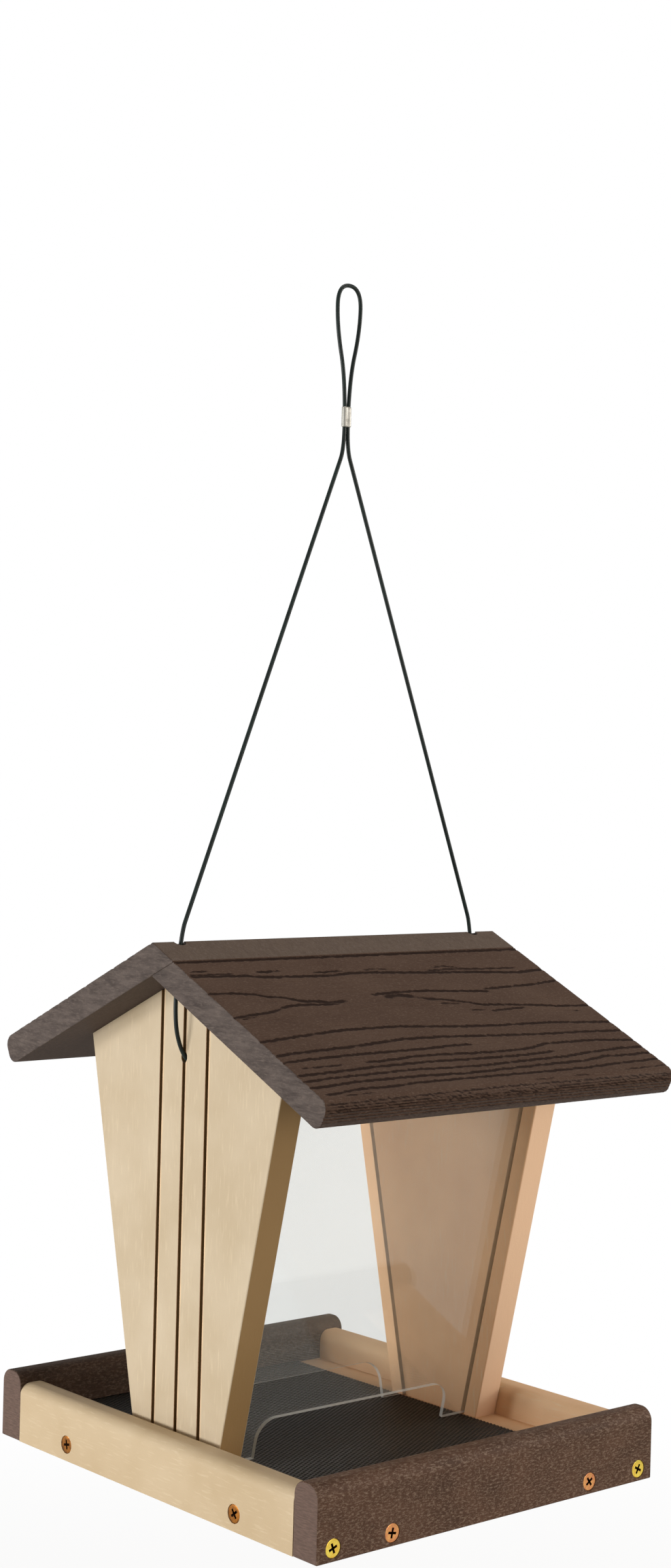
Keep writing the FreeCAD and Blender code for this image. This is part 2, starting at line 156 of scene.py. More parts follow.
grain_rows = [
    ([(0, 4), (400, 8), (700, 6), (1000, 9)], 1, 1.1),
    ([(0, 110), (140, 121), (190, 138), (360, 149), (430, 138), (500, 140)], 1, 1.2),
    ([(490, 140), (610, 157), (780, 174), (860, 186), (910, 195), (1000, 179)], 1, 1.3),
    ([(15, 77), (60, 76)], 0.8, 0.9),
    ([(0, 100), (120, 104)], 0.7, 0.8),
    ([(180, 100), (245, 97)], 0.9, 1.1),
    ([(330, 122), (410, 118)], 0.9, 0.9),
    ([(470, 122), (510, 113), (545, 124)], 0.6, 0.9),
    ([(670, 124), (710, 117), (750, 133)], 0.7, 0.9),
    ([(650, 148), (730, 142), (810, 152), (920, 157)], 0.8, 1),
    ([(0, 237), (70, 242), (120, 260), (140, 278), (185, 292)], 1, 1),
    ([(180, 290), (210, 320), (250, 328), (280, 342), (330, 339)], 1, 1.4),
    ([(0, 410), (50, 397), (110, 385), (150, 358), (190, 346), (300, 357)], 1, 1),
    ([(10, 424), (60, 411)], 0.6, 0.8),
    ([(415, 304), (500, 295), (580, 297), (640, 308), (755, 326)], 1, 1.1),
    ([(445, 325), (490, 318), (530, 335)], 1, 1.9),
    ([(530, 342), (560, 358), (580, 362)], 1, 1.4),
    ([(750, 309), (830, 300), (910, 294), (1000, 272)], 1, 1),
    ([(575, 360), (640, 389), (690, 423), (750, 431), (860, 454), (900, 467), (1000, 478)], 1, 1),
    ([(570, 392), (600, 400), (630, 404)], 0.7, 1),
    ([(635, 457), (680, 460)], 0.7, 0.8),
    ([(690, 474), (720, 469), (800, 462)], 0.8, 1),
    ([(920, 512), (955, 510)], 0.6, 0.8),
    ([(0, 580), (100, 560), (230, 537), (380, 536), (550, 566), (660, 578)], 1, 1.1),
    ([(650, 577), (830, 583), (900, 596), (1000, 610)], 1, 1),
    ([(0, 678), (40, 667), (220, 649), (360, 625), (470, 628), (640, 649)], 1, 1.1),
    ([(630, 648), (750, 660), (890, 667), (1000, 678)], 1, 1),
    ([(0, 722), (60, 712), (200, 703), (400, 700), (460, 693), (525, 694)], 1, 1),
    ([(30, 766), (140, 762)], 0.7, 0.9),
    ([(200, 759), (280, 754), (340, 744), (420, 746), (500, 754), (600, 758)], 1, 1),
    ([(590, 758), (670, 752), (730, 729), (880, 730), (1000, 753)], 1, 1),
    ([(0, 809), (110, 801), (200, 792), (360, 786), (500, 793), (620, 795), (730, 786)], 1, 1),
    ([(0, 850), (70, 839), (200, 833), (300, 828), (390, 836), (500, 840)], 0.9, 1),
    ([(490, 840), (640, 831), (750, 827), (800, 816), (930, 801), (1000, 806)], 1, 1),
    ([(0, 890), (55, 885), (120, 874), (300, 872), (430, 881), (500, 876)], 1, 1),
    ([(490, 877), (660, 869), (790, 866), (850, 848), (920, 853), (1000, 849)], 1, 1),
    ([(20, 939), (70, 930), (110, 919), (200, 922), (270, 912), (500, 913)], 0.9, 1),
    ([(490, 913), (640, 915), (770, 914), (850, 905), (1000, 897)], 0.9, 1),
    ([(60, 952), (140, 950)], 0.6, 0.8),
    ([(580, 963), (640, 962)], 0.6, 0.8),
    ([(690, 958), (750, 961)], 0.6, 0.8),
    ([(860, 951), (1000, 945)], 0.6, 0.8),
]
grain_lines = [([(u / 1000, v / 1000) for u, v in points], *mark) for points, *mark in grain_rows]

# Screen: a strand's outline has shares of its width and its thickness
strand_angle = radians(28.0)
strand_pitch = 0.0021
strand_width = 0.00125
strand_layers = 0.12
strand_outline = [(-0.5, 0.0), (0.2, 0.0), (0.5, 0.45), (0.3, 1.0), (-0.15, 1.0), (-0.45, 0.5)]

# Screws: the rim's points are shares of its easing, inwards and down
screw_head_radius = 0.0042
screw_head_height = 0.003
screw_shank_radius = 0.0021
screw_length = 0.038
screw_tip = 0.005
screw_point_radius = 0.0001
screw_sides = 36
screw_smooth_angle = radians(35.0)
recess_span = 0.0047
recess_width = 0.00115
recess_depth = 0.0019
recess_taper = 0.45
recess_narrowing = 0.6
rim_ease = 0.00035
rim_profile = [(0, 1), (0, 1 / 2), (1 / 2, 1 / 8), (1, 0)]
same_depth = 1e-6
sort_digits = 4
rail_metals = ["screw_yellow", "screw_copper", "screw_copper", "screw_yellow"]
Screws = namedtuple("Screws", "body way metals turns")
screw_rows = {
    "front_rail_screws": Screws("hopper", (0, 1, 0), rail_metals, [20, -12, 35, 62]),
    "back_rail_screws": Screws("hopper", (0, -1, 0), rail_metals, [51, 8, -24, 33]),
    "left_rail_screws": Screws("hopper", (1, 0, 0), ["screw_bronze"], [38, 12]),
    "right_rail_screws": Screws("hopper", (-1, 0, 0), ["screw_bronze"], [-20, 27]),
    "left_panel_screws": Screws("hopper", (0, 0, 1), ["screw_yellow"], [15, 49]),
    "right_panel_screws": Screws("hopper", (0, 0, 1), ["screw_yellow"], [71, 30]),
    "ridge_screws": Screws("roof", (0, *front_slope), ["screw_bronze"], [10, 44, -18]),
}

# Cable: the route's points on the left as (x, z)
cable_diameter = 0.002
cable_sides = 20
cable_step = 0.0009
spline_steps = 200
spline_order = 3
roof_point = (-0.0947, -0.332989)
ferrule_point = (-0.0011, -0.0682)
panel_bend = [(-0.071648, -0.386158), (-0.082223, -0.377285), (-0.091415, -0.369571), (-0.0962, -0.351978)]
leg_bends = [(-0.0932, -0.314), (-0.08882, -0.302827), (-0.005041, -0.089056), (-0.0011, -0.079)]
drop_route = [*panel_bend, roof_point]
leg_route = [roof_point, *leg_bends, ferrule_point]
loop_side = [ferrule_point, (-0.0011, -0.046), (-0.0074, -0.02), (-0.0074, 0.001)]
loop_route = loop_side + [(-x, z) for x, z in reversed(loop_side)]

# Ferrule
ferrule_steps = 40
ferrule_sides = 48
ferrule_squareness = 0.66
ferrule_crease = 0.00045
ferrule_crease_width = 0.0006
ferrule_ease = 0.0005

# Looks: tones are screen colours of 0 to 255, two as the darkest and the palest. Mark tones are for drawn
# marks and pits. Marks are noise of a size, drawn out along the board by a pull, and fade in between two
# levels up to a share. A relief is a depth and a strength. Patches are noise with its scales, detail,
# levels and what it becomes between them.
noise_roughness = 0.55
mark_fields = "size pull detail fade share relief roughness"
Marks = namedtuple("Marks", mark_fields, defaults=(1.0, None, noise_roughness))
noise_middle = (0.3, 0.7)
side_turn = (0.3, 0.7)

# Tan boards: the right ones are pinker and paler inside than the left ones, which is painted light on
# their inner faces
tan_tones = {
    "left_rail": ((194, 172, 138), (205, 185, 154)),
    "right_rail": ((224, 183, 141), (236, 198, 158)),
    "left_end_panel": ((193, 175, 146), (205, 189, 163)),
    "right_end_panel": ((233, 184, 140), (244, 198, 154)),
}
tan_mark_tones = ((232, 216, 186), (176, 148, 108))
tan_look = {
    "specular": 0.2,
    "cloud": Marks(1 / 22, 1, 3.0, (0.35, 0.68)),
    "drawn": Marks(0.0011, 9, 3.0, (0.56, 0.78), 0.35, (0.00012, 0.45)),
    "pits": Marks(1 / 1700, 1, 2.0, (0.62, 0.8), 0.3, (0.00008, 0.5)),
    "rough": ("cloud", noise_middle, (0.52, 0.66)),
}
# Panels' front edges: painted shade on the left panel's, painted light on the right panel's
painted_front_edge_tones = {"left_end_panel": (150, 119, 73), "right_end_panel": (248, 212, 178)}
painted_front_edge_share = 0.9
painted_front_turn = (-0.8, -0.95)

# Panels' grooves, each with painted shade on its walls, a brown fringe and a painted highlight along the
# burred front edge beside it
panel_face_x = 0.0895
groove_depth = 0.003
groove_width = 0.002
groove_pitch = 0.0175
groove_zone = 1.4
groove_near = 0.6
groove_mouth = (0.00003, 0.0002)
groove_bottom = 1.2
face_skin = 0.0001
# Painted shade for the grooves' walls
groove_shade_tone = (50, 23, 5)
groove_shade_patches = ((500, 500, 180), 3.0, (0.3, 0.62), (0.85, 1.0))
fringe_tone = (124, 68, 22)
fringe_width = 0.0005
# Painted highlight along the burred front edge of each groove
burr_highlight_tone = (246, 214, 170)
burr_highlight_width = 0.0011
burr_highlight_fade = (0.2, 0.5)
burr_highlight_patches = ((300, 300, 60), 3.0, (0.35, 0.65), (0.25, 0.75))

# Brown rails: the back one is darker than the front one, as painted shade for the trough behind the panels
brown_tones = {"front_rail": ((74, 54, 43), (95, 70, 56)), "back_rail": ((60, 46, 37), (75, 57, 46))}
brown_flecks = {"front_rail": (140, 120, 104), "back_rail": (110, 94, 82)}
brown_pits = (54, 38, 30)
brown_end_tones = ((94, 77, 69), (114, 93, 84))
brown_look = {
    "specular": 0.1,
    "cloud": Marks(1 / 80, 16 / 9, 5.0, noise_middle, roughness=0.65),
    "drawn": Marks(0.00085, 2.6, 4.0, (0.48, 0.66), 0.95, (0.00016, 0.5), roughness=0.78),
    "pits": Marks(1 / 1500, 1, 2.0, (0.56, 0.76), 0.6, (0.0001, 0.5)),
    "rough": ("drawn", (0.3, 0.75), (0.48, 0.68)),
}
rail_end_turn = (0.75, 0.95)
rail_saw_patches = ((400, 260, 1900), 3.0, (0.35, 0.7), (0.0, 1.0))

# Roof boards' faces
roof_tones = ((73, 55, 45), (83, 65, 54))
roof_mark_tones = ((104, 88, 78), (44, 32, 26))
roof_look = {
    "specular": 0.06,
    "cloud": Marks(1 / 50, 25 / 14, 4.0, noise_middle),
    "drawn": Marks(0.00075, 2.2, 3.0, (0.5, 0.72), 0.75, (0.00016, 0.45), roughness=0.65),
    "pits": Marks(1 / 1300, 1, 2.0, (0.58, 0.8), 0.5, (0.00012, 0.55)),
    "rough": ("drawn", (0.3, 0.75), (0.5, 0.72)),
}
grain_tone = (36, 23, 17)
grain_tear = Marks(0.00055, 3.5, 4.0, (0.28, 0.72), roughness=0.7)
grain_tear_range = (0.5, 1.6)
grain_tone_fade = (0.24, 0.56)
grain_tone_share = 0.95
under_tones = ((76, 66, 62), (96, 85, 80))
under_fade = (0.4, 0.65)
under_turn = (-0.3, -0.7)

# Roof boards' sawn ends and the strip along the ridge
sawn_end_tones = ((66, 58, 55), (98, 88, 83))
sawn_strip_tones = ((88, 75, 66), (97, 84, 74))
sawn_mark_tones = ((114, 103, 97), (60, 50, 46))
sawn_look = {
    "specular": 0.08,
    "cloud": Marks(0.0028, 5, 4.0, noise_middle, roughness=0.6),
    "drawn": Marks(0.0008, 5, 3.0, (0.48, 0.72), 0.6, (0.00014, 0.5), roughness=0.6),
    "pits": Marks(1 / 1300, 1, 2.0, (0.56, 0.78), 0.5, (0.0001, 0.5)),
    "rough": ("drawn", (0.3, 0.75), (0.55, 0.75)),
}

# Coated screen and cable
coat_specular = 0.3
screen_tones = ((16, 14, 11), (44, 41, 35))
screen_noise = ((900, 900, 900), 3.0)
screen_top_turn = (0.55, 1.0)
screen_wear_fade = (0.35, 0.7)
screen_wear_range = (0.35, 1.0)
screen_rough = (0.38, 0.56)
screen_relief = (0.00005, 0.4)
cable_tones = ((10, 23, 21), (19, 37, 34))
cable_noise = ((90, 90, 90), 3.0)
cable_fade = (0.4, 0.7)
cable_rough = (0.4, 0.5)
cable_relief = (0.00002, 0.3)

# Clear panes with frosted edges
pane_index = 1.49
pane_clear = (0.985, 0.99, 0.985, 1.0)
pane_gloss = 0.03
haze_tone = (236, 238, 234)
haze_patches = ((14, 14, 9), 3.0, noise_middle, (0.024, 0.046))
frost_tone = (244, 245, 242)
frost_share = 0.5
frost_facing = 0.5

# Metals: plain tone, worn tone and roughness, which stains lower or raise
metals = {
    "crimp_silver": ((178, 177, 171), (160, 159, 152), 0.5),
    "screw_yellow": ((255, 234, 104), (240, 192, 70), 0.3),
    "screw_copper": ((240, 176, 108), (212, 132, 94), 0.32),
    "screw_bronze": ((170, 108, 34), (74, 40, 14), 0.36),
    # Painted shade for the inside of the cross recess
    "screw_recess_shade": ((64, 38, 14), (34, 18, 6), 0.5),
}
metal_share = 0.8
stain_noise = ((380, 380, 380), 4.0)
stain_fade = (0.38, 0.7)
stain_rough = (-0.08, 0.12)
turning_noise = ((2600, 2600, 2600), 2.0)
turning_relief = (0.00001, 0.4)

# Sizes that follow
roof_half_length, _, ridge_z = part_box("back_roof_slab")[1]
ridge = np.array((0.0, ridge_z))
front_normal = np.array((-sin(roof_pitch), cos(roof_pitch)))
flip_y = np.array((-1.0, 1.0))
bevel_width = roof_thickness / sin(2 * roof_pitch)
grain_face = roof_board_width - roof_thickness / tan(2 * roof_pitch)


def srgb(red, green, blue):
    """Linear colour with alpha from a screen colour of 0 to 255."""
    shares = [value / 255 for value in (red, green, blue)]
    linear = [s / 12.92 if s <= 0.04045 else ((s + 0.055) / 1.055) ** 2.4 for s in shares]
    return (*linear, 1.0)


class Nodes:
    """Adds and links the nodes of one tree."""

    def __init__(self, tree):
        self.tree = tree

    def feed(self, socket, value):
        """Links or sets one socket."""
        if isinstance(value, bpy.types.NodeSocket):
            self.tree.links.new(value, socket)
        else:
            socket.default_value = value

    def node(self, kind, inputs=None, **settings):
        """One new node with its settings and inputs."""
        node = self.tree.nodes.new("ShaderNode" + kind)
        for name, value in settings.items():
            setattr(node, name, value)
        for name, value in (inputs or {}).items():
            self.feed(node.inputs[name], value)
        return node

    def place(self, output="Object"):
        """Coordinates of the surface."""
        return self.node("TexCoord").outputs[output]

    def axes(self, output="Object"):
        """The three coordinates as separate values."""
        return self.node("SeparateXYZ", {"Vector": self.place(output)}).outputs

    def noise(self, scale, detail, roughness=noise_roughness):
        """Noise with its own scale along each axis, from 0 to 1."""
        vector = self.node("Mapping", {"Vector": self.place(), "Scale": scale}).outputs["Vector"]
        inputs = {"Vector": vector, "Scale": 1.0, "Detail": detail, "Roughness": roughness}
        return self.node("TexNoise", inputs).outputs["Fac"]

    def spread(self, value, low, high, to_low=0.0, to_high=1.0):
        """Stretches the part of a value between two levels."""
        inputs = {"Value": value, "From Min": low, "From Max": high, "To Min": to_low, "To Max": to_high}
        return self.node("MapRange", inputs).outputs["Result"]

    def patches(self, scale, detail, levels, becomes):
        """Noise whose part between two levels is stretched."""
        return self.spread(self.noise(scale, detail), *levels, *becomes)

    def math(self, operation, first, second=0.0):
        """One operation."""
        node = self.node("Math", operation=operation)
        self.feed(node.inputs[0], first)
        self.feed(node.inputs[1], second)
        return node.outputs["Value"]

    def product(self, first, *others):
        """All values multiplied."""
        for other in others:
            first = self.math("MULTIPLY", first, other)
        return first

    def mix(self, share, first, second):
        """Two colours mixed by a share, each a socket or a screen colour."""
        node = self.node("Mix", data_type="RGBA")
        sockets = {socket.identifier: socket for socket in node.inputs}
        self.feed(sockets["Factor_Float"], share)
        for key, colour in (("A_Color", first), ("B_Color", second)):
            self.feed(sockets[key], srgb(*colour) if isinstance(colour, tuple) else colour)
        return next(socket for socket in node.outputs if socket.identifier == "Result_Color")

    def blend(self, share, first, second):
        """Two shaders mixed by a share."""
        node = self.node("MixShader", {"Fac": share})
        self.feed(node.inputs[1], first)
        self.feed(node.inputs[2], second)
        return node.outputs["Shader"]

    def bump(self, height, distance, strength, normal=None):
        """Surface relief from a height."""
        inputs = {"Height": height, "Distance": distance, "Strength": strength}
        if normal is not None:
            inputs["Normal"] = normal
        return self.node("Bump", inputs).outputs["Normal"]


class Surface(Nodes):
    """The nodes of one material, round its Principled shader."""

    def __init__(self, name, **constants):
        self.material = bpy.data.materials.new(name)
        self.material.use_nodes = True
        super().__init__(self.material.node_tree)
        self.shader = self.tree.nodes["Principled BSDF"]
        self.output = self.tree.nodes["Material Output"]
        for socket, value in constants.items():
            self.shader.inputs[socket.replace("_", " ")].default_value = value

    def finish(self, colour, roughness, normal):
        """Links the shader's main inputs."""
        for name, value in (("Base Color", colour), ("Roughness", roughness), ("Normal", normal)):
            self.feed(self.shader.inputs[name], value)
        return self.material

    def finish_with(self, shader):
        """Links another shader in the Principled shader's place."""
        self.feed(self.output.inputs["Surface"], shader)
        return self.material


class Board(Surface):
    """Surface of a board: mottled between two tones, with drawn-out marks and pits."""

    def __init__(self, name, look, along):
        super().__init__(name, Specular_IOR_Level=look["specular"])
        self.look = look
        self.textures = {kind: self.texture(look[kind], along) for kind in ("cloud", "drawn", "pits")}
        self.mottle = self.spread(self.textures["cloud"], *look["cloud"].fade)

    def texture(self, marks, along):
        """Noise for one kind of marks, drawn out along one axis."""
        scale = [1 / marks.size] * 3
        scale[along] /= marks.pull
        return self.noise(scale, marks.detail, marks.roughness)

    def mottled(self, tones):
        """Colour between the darkest and the palest tone."""
        return self.mix(self.mottle, *tones)

    def marked(self, colour, tones):
        """Adds the drawn-out marks and the pits to a colour."""
        for kind, tone in zip(("drawn", "pits"), tones):
            marks = self.look[kind]
            share = self.spread(self.textures[kind], *marks.fade, 0.0, marks.share)
            colour = self.mix(share, colour, tone)
        return colour

    def done(self, colour):
        """Links the colour, with the shine and relief that the marks bring."""
        source, levels, rough = self.look["rough"]
        normal = None
        for kind in ("pits", "drawn"):
            normal = self.bump(self.textures[kind], *self.look[kind].relief, normal)
        return self.finish(colour, self.spread(self.textures[source], *levels, *rough), normal)


def groove_marks(board, colour):
    """Painted shade in the panels' grooves, with a brown fringe and a painted highlight on the burred edge
    beside them.
    """
    x, y, _ = board.axes()
    depth = board.math("SUBTRACT", panel_face_x, board.math("ABSOLUTE", x))
    zone = board.math("LESS_THAN", board.math("ABSOLUTE", y), groove_zone * groove_pitch)
    wall = board.math("PINGPONG", y, groove_pitch / 2)
    near = board.math("LESS_THAN", wall, groove_near * groove_width)
    inside = board.spread(depth, *groove_mouth)
    above = board.math("LESS_THAN", depth, groove_bottom * groove_depth)
    # Dark walls inside the grooves: painted shade
    ragged = board.patches(*groove_shade_patches)
    colour = board.mix(board.product(inside, above, near, zone, ragged), colour, groove_shade_tone)
    outside = board.math("LESS_THAN", depth, face_skin)
    fringe = board.spread(wall, groove_width / 2, groove_width / 2 + fringe_width, 1.0, 0.0)
    colour = board.mix(board.product(fringe, outside, zone), colour, fringe_tone)
    # Pale strip along the front of each groove: painted highlight on its burred edge
    shifted = board.math("ADD", y, (groove_width + burr_highlight_width) / 2)
    beside = board.math("PINGPONG", shifted, groove_pitch / 2)
    burr_highlight = board.spread(beside, *(share * burr_highlight_width for share in burr_highlight_fade), 1.0, 0.0)
    patchy = board.patches(*burr_highlight_patches)
    return board.mix(board.product(burr_highlight, outside, zone, patchy), colour, burr_highlight_tone)


def tan_material(name, along):
    """Pale board with pits and drawn marks. Panels also have grooves, and front edges in tones of their
    own: painted shade on the left panel's, painted light on the right panel's.
    """
    board = Board(name + "_tan", tan_look, along)
    right, back, _ = board.axes("Normal")
    # Faces turned right or back take the left boards' tones; the others take the board's own, which on the
    # right boards are pinker and paler as painted light
    outside = board.spread(board.math("MAXIMUM", right, back), *side_turn)
    outer = board.mottled(tan_tones[name.replace("right", "left")])
    colour = board.mix(outside, board.mottled(tan_tones[name]), outer)
    colour = board.marked(colour, tan_mark_tones)
    # Front edges of the panels take their own tones: painted shade on the left panel, painted light on the
    # right panel
    if name in painted_front_edge_tones:
        front = board.spread(back, *painted_front_turn, 0.0, painted_front_edge_share)
        colour = board.mix(front, groove_marks(board, colour), painted_front_edge_tones[name])
    return board.done(colour)


def brown_material(name):
    """Dark board with paler flecks drawn out along X and greyer sawn ends."""
    board = Board(name + "_brown", brown_look, 0)
    # The back rail's darker tones and flecks are painted shade
    colour = board.marked(board.mottled(brown_tones[name]), (brown_flecks[name], brown_pits))
    sawn = board.mix(board.patches(*rail_saw_patches), *brown_end_tones)
    end = board.spread(board.math("ABSOLUTE", board.axes("Normal")[0]), *rail_end_turn)
    return board.done(board.mix(end, colour, sawn))


def roof_material():
    """Embossed board with fine pale dust, darker in the grain and greyer underneath."""
    board = Board("roof_grain", roof_look, 0)
    colour = board.marked(board.mottled(roof_tones), roof_mark_tones)
    groove = board.node("Attribute", attribute_name="groove").outputs["Fac"]
    torn = board.spread(board.texture(grain_tear, 0), *grain_tear.fade, *grain_tear_range)
    cut = board.spread(board.product(groove, torn), *grain_tone_fade, 0.0, grain_tone_share)
    colour = board.mix(cut, colour, grain_tone)
    beneath = board.mix(board.spread(board.textures["drawn"], *under_fade), *under_tones)
    under = board.spread(board.axes("Normal")[2], *under_turn)
    return board.done(board.mix(under, colour, beneath))


def sawn_material():
    """Greyer cut faces of the roof boards, with fine saw marks."""
    board = Board("roof_sawn", sawn_look, 1)
    end = board.spread(board.math("ABSOLUTE", board.axes("Normal")[0]), *side_turn)
    colour = board.mix(end, board.mottled(sawn_strip_tones), board.mottled(sawn_end_tones))
    return board.done(board.marked(colour, sawn_mark_tones))


def screen_material():
    """Black coating, worn greyer on the highest edges."""
    coat = Surface("screen_coat", Specular_IOR_Level=coat_specular)
    grit = coat.noise(*screen_noise)
    upward = coat.spread(coat.axes("Normal")[2], *screen_top_turn)
    worn = coat.product(upward, coat.spread(grit, *screen_wear_fade, *screen_wear_range))
    colour = coat.mix(worn, *screen_tones)
    rough = coat.spread(grit, *noise_middle, *screen_rough)
    return coat.finish(colour, rough, coat.bump(grit, *screen_relief))


def pane_material():
    """Clear acrylic with a faint haze and frosted white cut edges."""
    pane = Surface("pane_acrylic")
    pane.tree.nodes.remove(pane.shader)
    backside = pane.node("NewGeometry").outputs["Backfacing"]
    bend = pane.spread(backside, 0.0, 1.0, pane_index, 1 / pane_index)
    shine = pane.node("Fresnel", {"IOR": bend}).outputs["Fac"]
    clear = pane.node("BsdfTransparent", {"Color": pane_clear}).outputs["BSDF"]
    gloss = pane.node("BsdfGlossy", {"Roughness": pane_gloss}).outputs["BSDF"]
    haze = pane.node("BsdfDiffuse", {"Color": srgb(*haze_tone)}).outputs["BSDF"]
    frost = pane.node("BsdfDiffuse", {"Color": srgb(*frost_tone)}).outputs["BSDF"]
    veiled = pane.blend(pane.patches(*haze_patches), clear, haze)
    glazed = pane.blend(shine, veiled, gloss)
    facing = pane.math("ABSOLUTE", pane.axes("Normal")[1])
    edge = pane.math("LESS_THAN", facing, frost_facing)
    return pane.finish_with(pane.blend(pane.product(edge, frost_share), glazed, frost))


def metal_material(name):
    """Plated metal with stains and fine turning marks."""
    plain, worn, roughness = metals[name]
    plate = Surface(name, Metallic=metal_share)
    stain = plate.noise(*stain_noise)
    colour = plate.mix(plate.spread(stain, *stain_fade), plain, worn)
    rough = plate.spread(stain, *noise_middle, *(roughness + change for change in stain_rough))
    return plate.finish(colour, rough, plate.bump(plate.noise(*turning_noise), *turning_relief))


def cable_material():
    """Smooth dark green coating over the wire."""
    coat = Surface("cable_coat", Specular_IOR_Level=coat_specular)
    scuff = coat.noise(*cable_noise)
    colour = coat.mix(coat.spread(scuff, *cable_fade), *cable_tones)
    rough = coat.spread(scuff, *noise_middle, *cable_rough)
    return coat.finish(colour, rough, coat.bump(scuff, *cable_relief))


def linked(name, data, materials=()):
    """New object in the scene."""
    for material in materials:
        data.materials.append(material)
    thing = bpy.data.objects.new(name, data)
    scene.collection.objects.link(thing)
    return thing


def new_piece(name, vertices, faces, materials):
    """Mesh object from plain lists, with outward faces."""
    mesh = bpy.data.meshes.new(name)
    mesh.from_pydata(vertices, [], faces)
    work = bmesh.new()
    work.from_mesh(mesh)
    bmesh.ops.recalc_face_normals(work, faces=work.faces)
    work.to_mesh(mesh)
    work.free()
    return linked(name, mesh, materials)


def smoothed(piece, angle=smooth_angle):
    """Smooth shading, with the sharp corners kept."""
    piece.data.shade_smooth()
    piece.data.set_sharp_from_angle(angle=angle)
    return piece


def tube_faces(rings, sides):
    """Faces of a stack of closed rings, with its two ends filled."""
    faces = []
    for level in range(rings - 1):
        for side in range(sides):
            here = level * sides + side
            beside = level * sides + (side + 1) % sides
            faces.append((here, beside, beside + sides, here + sides))
    faces.append(tuple(range(sides)))
    faces.append(tuple(range((rings - 1) * sides, rings * sides)))
    return faces


def cut_with(piece, cutters):
    """Cuts closed meshes out of a piece and keeps the result as its mesh."""
    for cutter in cutters:
        modifier = piece.modifiers.new("cut", "BOOLEAN")
        modifier.operation = "DIFFERENCE"
        modifier.solver = "EXACT"
        modifier.object = cutter
    graph = bpy.context.evaluated_depsgraph_get()
    whole = piece.data
    piece.data = bpy.data.meshes.new_from_object(piece.evaluated_get(graph))
    piece.modifiers.clear()
    bpy.data.meshes.remove(whole)
    for cutter in cutters:
        bpy.data.objects.remove(cutter)


def turns(count):
    """Angles of equal steps round a circle."""
    return [2 * pi * step / count for step in range(count)]


def ring(radius, height, sides):
    """Points of one level circle round the Z axis."""
    return [Vector((radius * cos(angle), radius * sin(angle), height)) for angle in turns(sides)]


def rod_cutter(rods):
    """Round cutters in one mesh, from starts, directions, radii and lengths."""
    vertices = []
    faces = []
    for start, direction, radius, length in rods:
        first = len(vertices)
        turn = direction.to_track_quat("Z", "Y").to_matrix()
        for height in (0.0, length):
            vertices.extend(start + turn @ spot for spot in ring(radius, height, cutter_sides))
        faces.extend(tuple(first + corner for corner in face) for face in tube_faces(2, cutter_sides))
    return new_piece("cutter", vertices, faces, [])


def unit(vector):
    """The same direction with a length of one."""
    return vector / np.linalg.norm(vector)


def rounded_section(corners, roundings):
    """Closed section through rounded corners, each run divided by its own step."""
    arcs = []
    for index, corner in enumerate(corners):
        back = unit(corners[index - 1] - corner)
        ahead = unit(corners[(index + 1) % len(corners)] - corner)
        half = acos(np.clip(back @ ahead, -1, 1)) / 2
        radius = roundings[index]
        middle = corner + unit(back + ahead) * radius / sin(half)
        first = corner + back * radius / tan(half) - middle
        last = corner + ahead * radius / tan(half) - middle
        sweep = pi - 2 * half
        shares = np.linspace(0, 1, arc_steps)[:, None]
        swept = np.sin((1 - shares) * sweep) * first + np.sin(shares * sweep) * last
        arcs.append(middle + swept / sin(sweep))
    points = []
    for index, arc in enumerate(arcs):
        following = arcs[(index + 1) % len(arcs)][0]
        count = max(2, round(np.linalg.norm(following - arc[-1]) / run_steps[index]) + 1)
        shares = np.linspace(0, 1, count)[1:-1, None]
        points.extend(arc)
        points.extend(arc[-1] + shares * (following - arc[-1]))
    return np.array(points)


def wobble(u, seed, slowest):
    """Seeded smooth unevenness along a board, mostly within -1 to 1."""
    dice = np.random.default_rng(seed)
    total = np.zeros_like(u)
    for step in range(1, grain_waves + 1):
        waves = slowest * step * dice.uniform(*wave_spread)
        total += np.sin(2 * pi * (waves * u + dice.random()))
    return total / sqrt(grain_waves)


def eased_line(points, u):
    """Height of one grain line along the board, without kinks at its points."""
    places, heights = np.array(points).T
    fine = np.linspace(0, 1, grain_samples)
    window = np.hanning(grain_easing)
    line = np.pad(np.interp(fine, places, heights), grain_easing // 2, mode="edge")
    return np.interp(u, fine, np.convolve(line, window / window.sum(), mode="valid"))


def pores(seed):
    """Short faint grain marks between the main lines."""
    dice = np.random.default_rng(seed)
    lines = []
    for _ in range(pore_count):
        start = dice.uniform(*pore_starts)
        height = dice.uniform(*pore_heights)
        length = dice.uniform(*pore_lengths)
        end = (start + length, height + dice.normal(0, pore_drift))
        lines.append(([(start, height), end], *pore_mark))
    return lines


def streaks():
    """Grain lines that run on over the eave's rounded edge."""
    lines = []
    for index in range(round(roof_thickness / streak_step)):
        height = streak_start + index * streak_step / grain_face
        lines.append(([(place, height + rise) for place, rise in streak_bend], *streak_mark))
    return lines


def emboss(u, along, lines, seed):
    """Depth of the grain at places along X and down the board."""
    depth = np.zeros_like(u)
    for number, (points, strength, width) in enumerate(lines, start=seed):
        centre = eased_line(points, u) * grain_face + grain_jag * wobble(u, number, jag_turns)
        patch = patch_middle + patch_swing * wobble(u, number + patch_seed, patch_turns)
        begun = np.clip((u - points[0][0]) / grain_fade + 0.5, 0, 1)
        lasting = np.clip((points[-1][0] - u) / grain_fade + 0.5, 0, 1)
        reach = (along - centre) / (grain_width * width)
        mark = strength * np.clip(patch, *patch_range) * begun * lasting * np.exp(-reach * reach)
        depth = np.maximum(depth, mark)
    return depth


